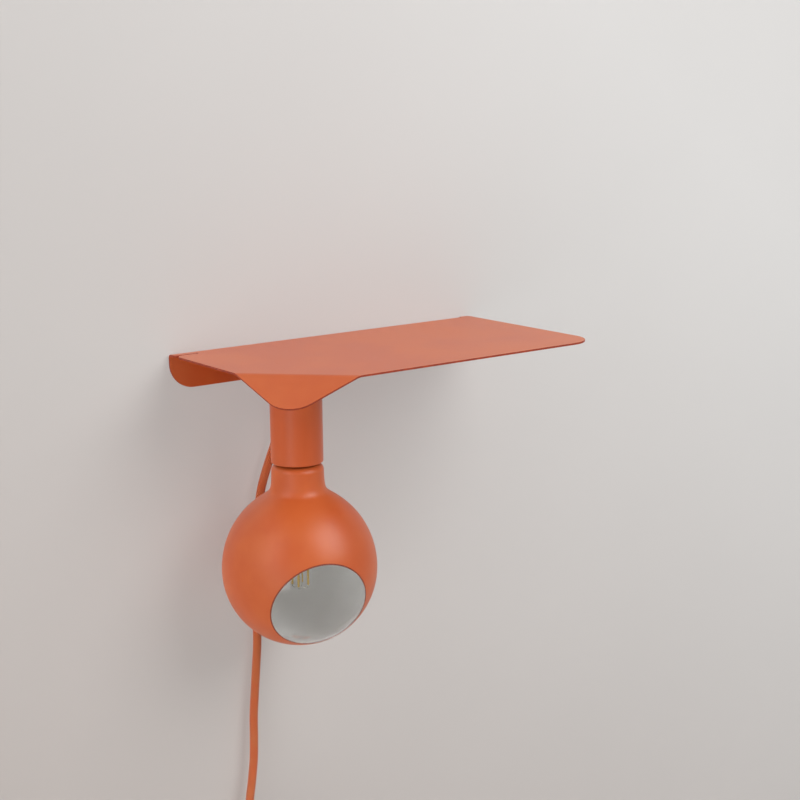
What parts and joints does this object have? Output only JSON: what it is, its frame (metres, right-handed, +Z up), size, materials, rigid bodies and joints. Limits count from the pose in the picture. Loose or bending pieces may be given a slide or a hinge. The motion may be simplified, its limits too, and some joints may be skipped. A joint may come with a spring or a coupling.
{
  "type": "wall lamp with shelf",
  "caption": "Wall lamp with a folded steel shelf; a cylindrical lamp holder hangs under it on a magnet and carries a lacquered globe bulb with a clear window; textile cord with switch and plug.",
  "frame": {"origin": "on the wall plane, midway between the two wall holes in the flange", "axes": "+X right along the wall, +Y into the wall, +Z up"},
  "size_m": [0.31, 0.17, 0.646],
  "materials": {
    "lacquered_metal": "semi-matt powder coat",
    "lacquered_glass": "semi-matt lacquer outside, white inside",
    "clear_glass": "clear",
    "cord_textile": "braided textile",
    "zinc_steel": "zinc plated",
    "ferrite": "sintered",
    "ceramic": "glazed",
    "brass": "plain",
    "nickel": "nickel plated",
    "black_plastic": "fine satin",
    "black_strap": "woven hook and loop",
    "white_plastic": "satin",
    "brown_insulation": "satin",
    "blue_insulation": "satin",
    "green_insulation": "satin",
    "black_glass": "glassy",
    "phosphor": "coated",
    "circuit_board": "solder mask"
  },
  "bodies": {
    "shelf_body": {"shelf": "lacquered_metal"},
    "magnet_foot": {"magnet_pot": "zinc_steel", "magnet_ring": "ferrite", "magnet_washer": "zinc_steel", "magnet_nut": "zinc_steel"},
    "holder": {"holder_cup": "lacquered_metal", "socket_pillars": "zinc_steel", "socket_body": "ceramic", "socket_screws": "zinc_steel", "thread_shell": "brass", "centre_contact": "brass", "terminals": "brass", "terminal_screws": "zinc_steel", "earth_screw": "brass", "live_wire": "brown_insulation", "neutral_wire": "blue_insulation", "earth_wire": "green_insulation", "cord_gland": "black_plastic", "gland_nut": "zinc_steel", "cord_drop": "cord_textile", "switch_base": "black_plastic", "switch_cover": "black_plastic", "switch_screws": "zinc_steel", "rocker_pin": "zinc_steel", "cord_link": "cord_textile", "cord_coil": "cord_textile", "coil_tie": "black_strap", "cord_tail": "cord_textile", "plug_body": "black_plastic", "plug_pins": "nickel", "plug_earth_strips": "nickel"},
    "rocker": {"switch_rocker": "white_plastic"},
    "bulb": {"globe_shell": "lacquered_glass", "globe_window": "clear_glass", "bulb_cap": "nickel", "cap_insulator": "black_glass", "cap_contact": "brass", "glass_stem": "clear_glass", "support_wires": "zinc_steel", "led_filaments": "phosphor", "driver_board": "circuit_board"}
  },
  "joints": [
    {"name": "magnet_slide", "type": "slide", "parent": "shelf_body", "child": "magnet_foot", "axis": [1, 0, 0], "range_m": [-0.04, 0.2]},
    {"name": "holder_swivel", "type": "hinge", "parent": "magnet_foot", "child": "holder", "pos_m": [-0.083, -0.074, 0], "axis": [0, 0, 1], "range_deg": [-120, 120]},
    {"name": "bulb_release", "type": "slide", "parent": "holder", "child": "bulb", "axis": [0, 0, -1], "range_m": [0, 0.03]},
    {"name": "rocker_tilt", "type": "hinge", "parent": "holder", "child": "rocker", "pos_m": [-0.102, -0.019, -0.432], "axis": [1, 0, 0], "range_deg": [-16, 0]}
  ]
}
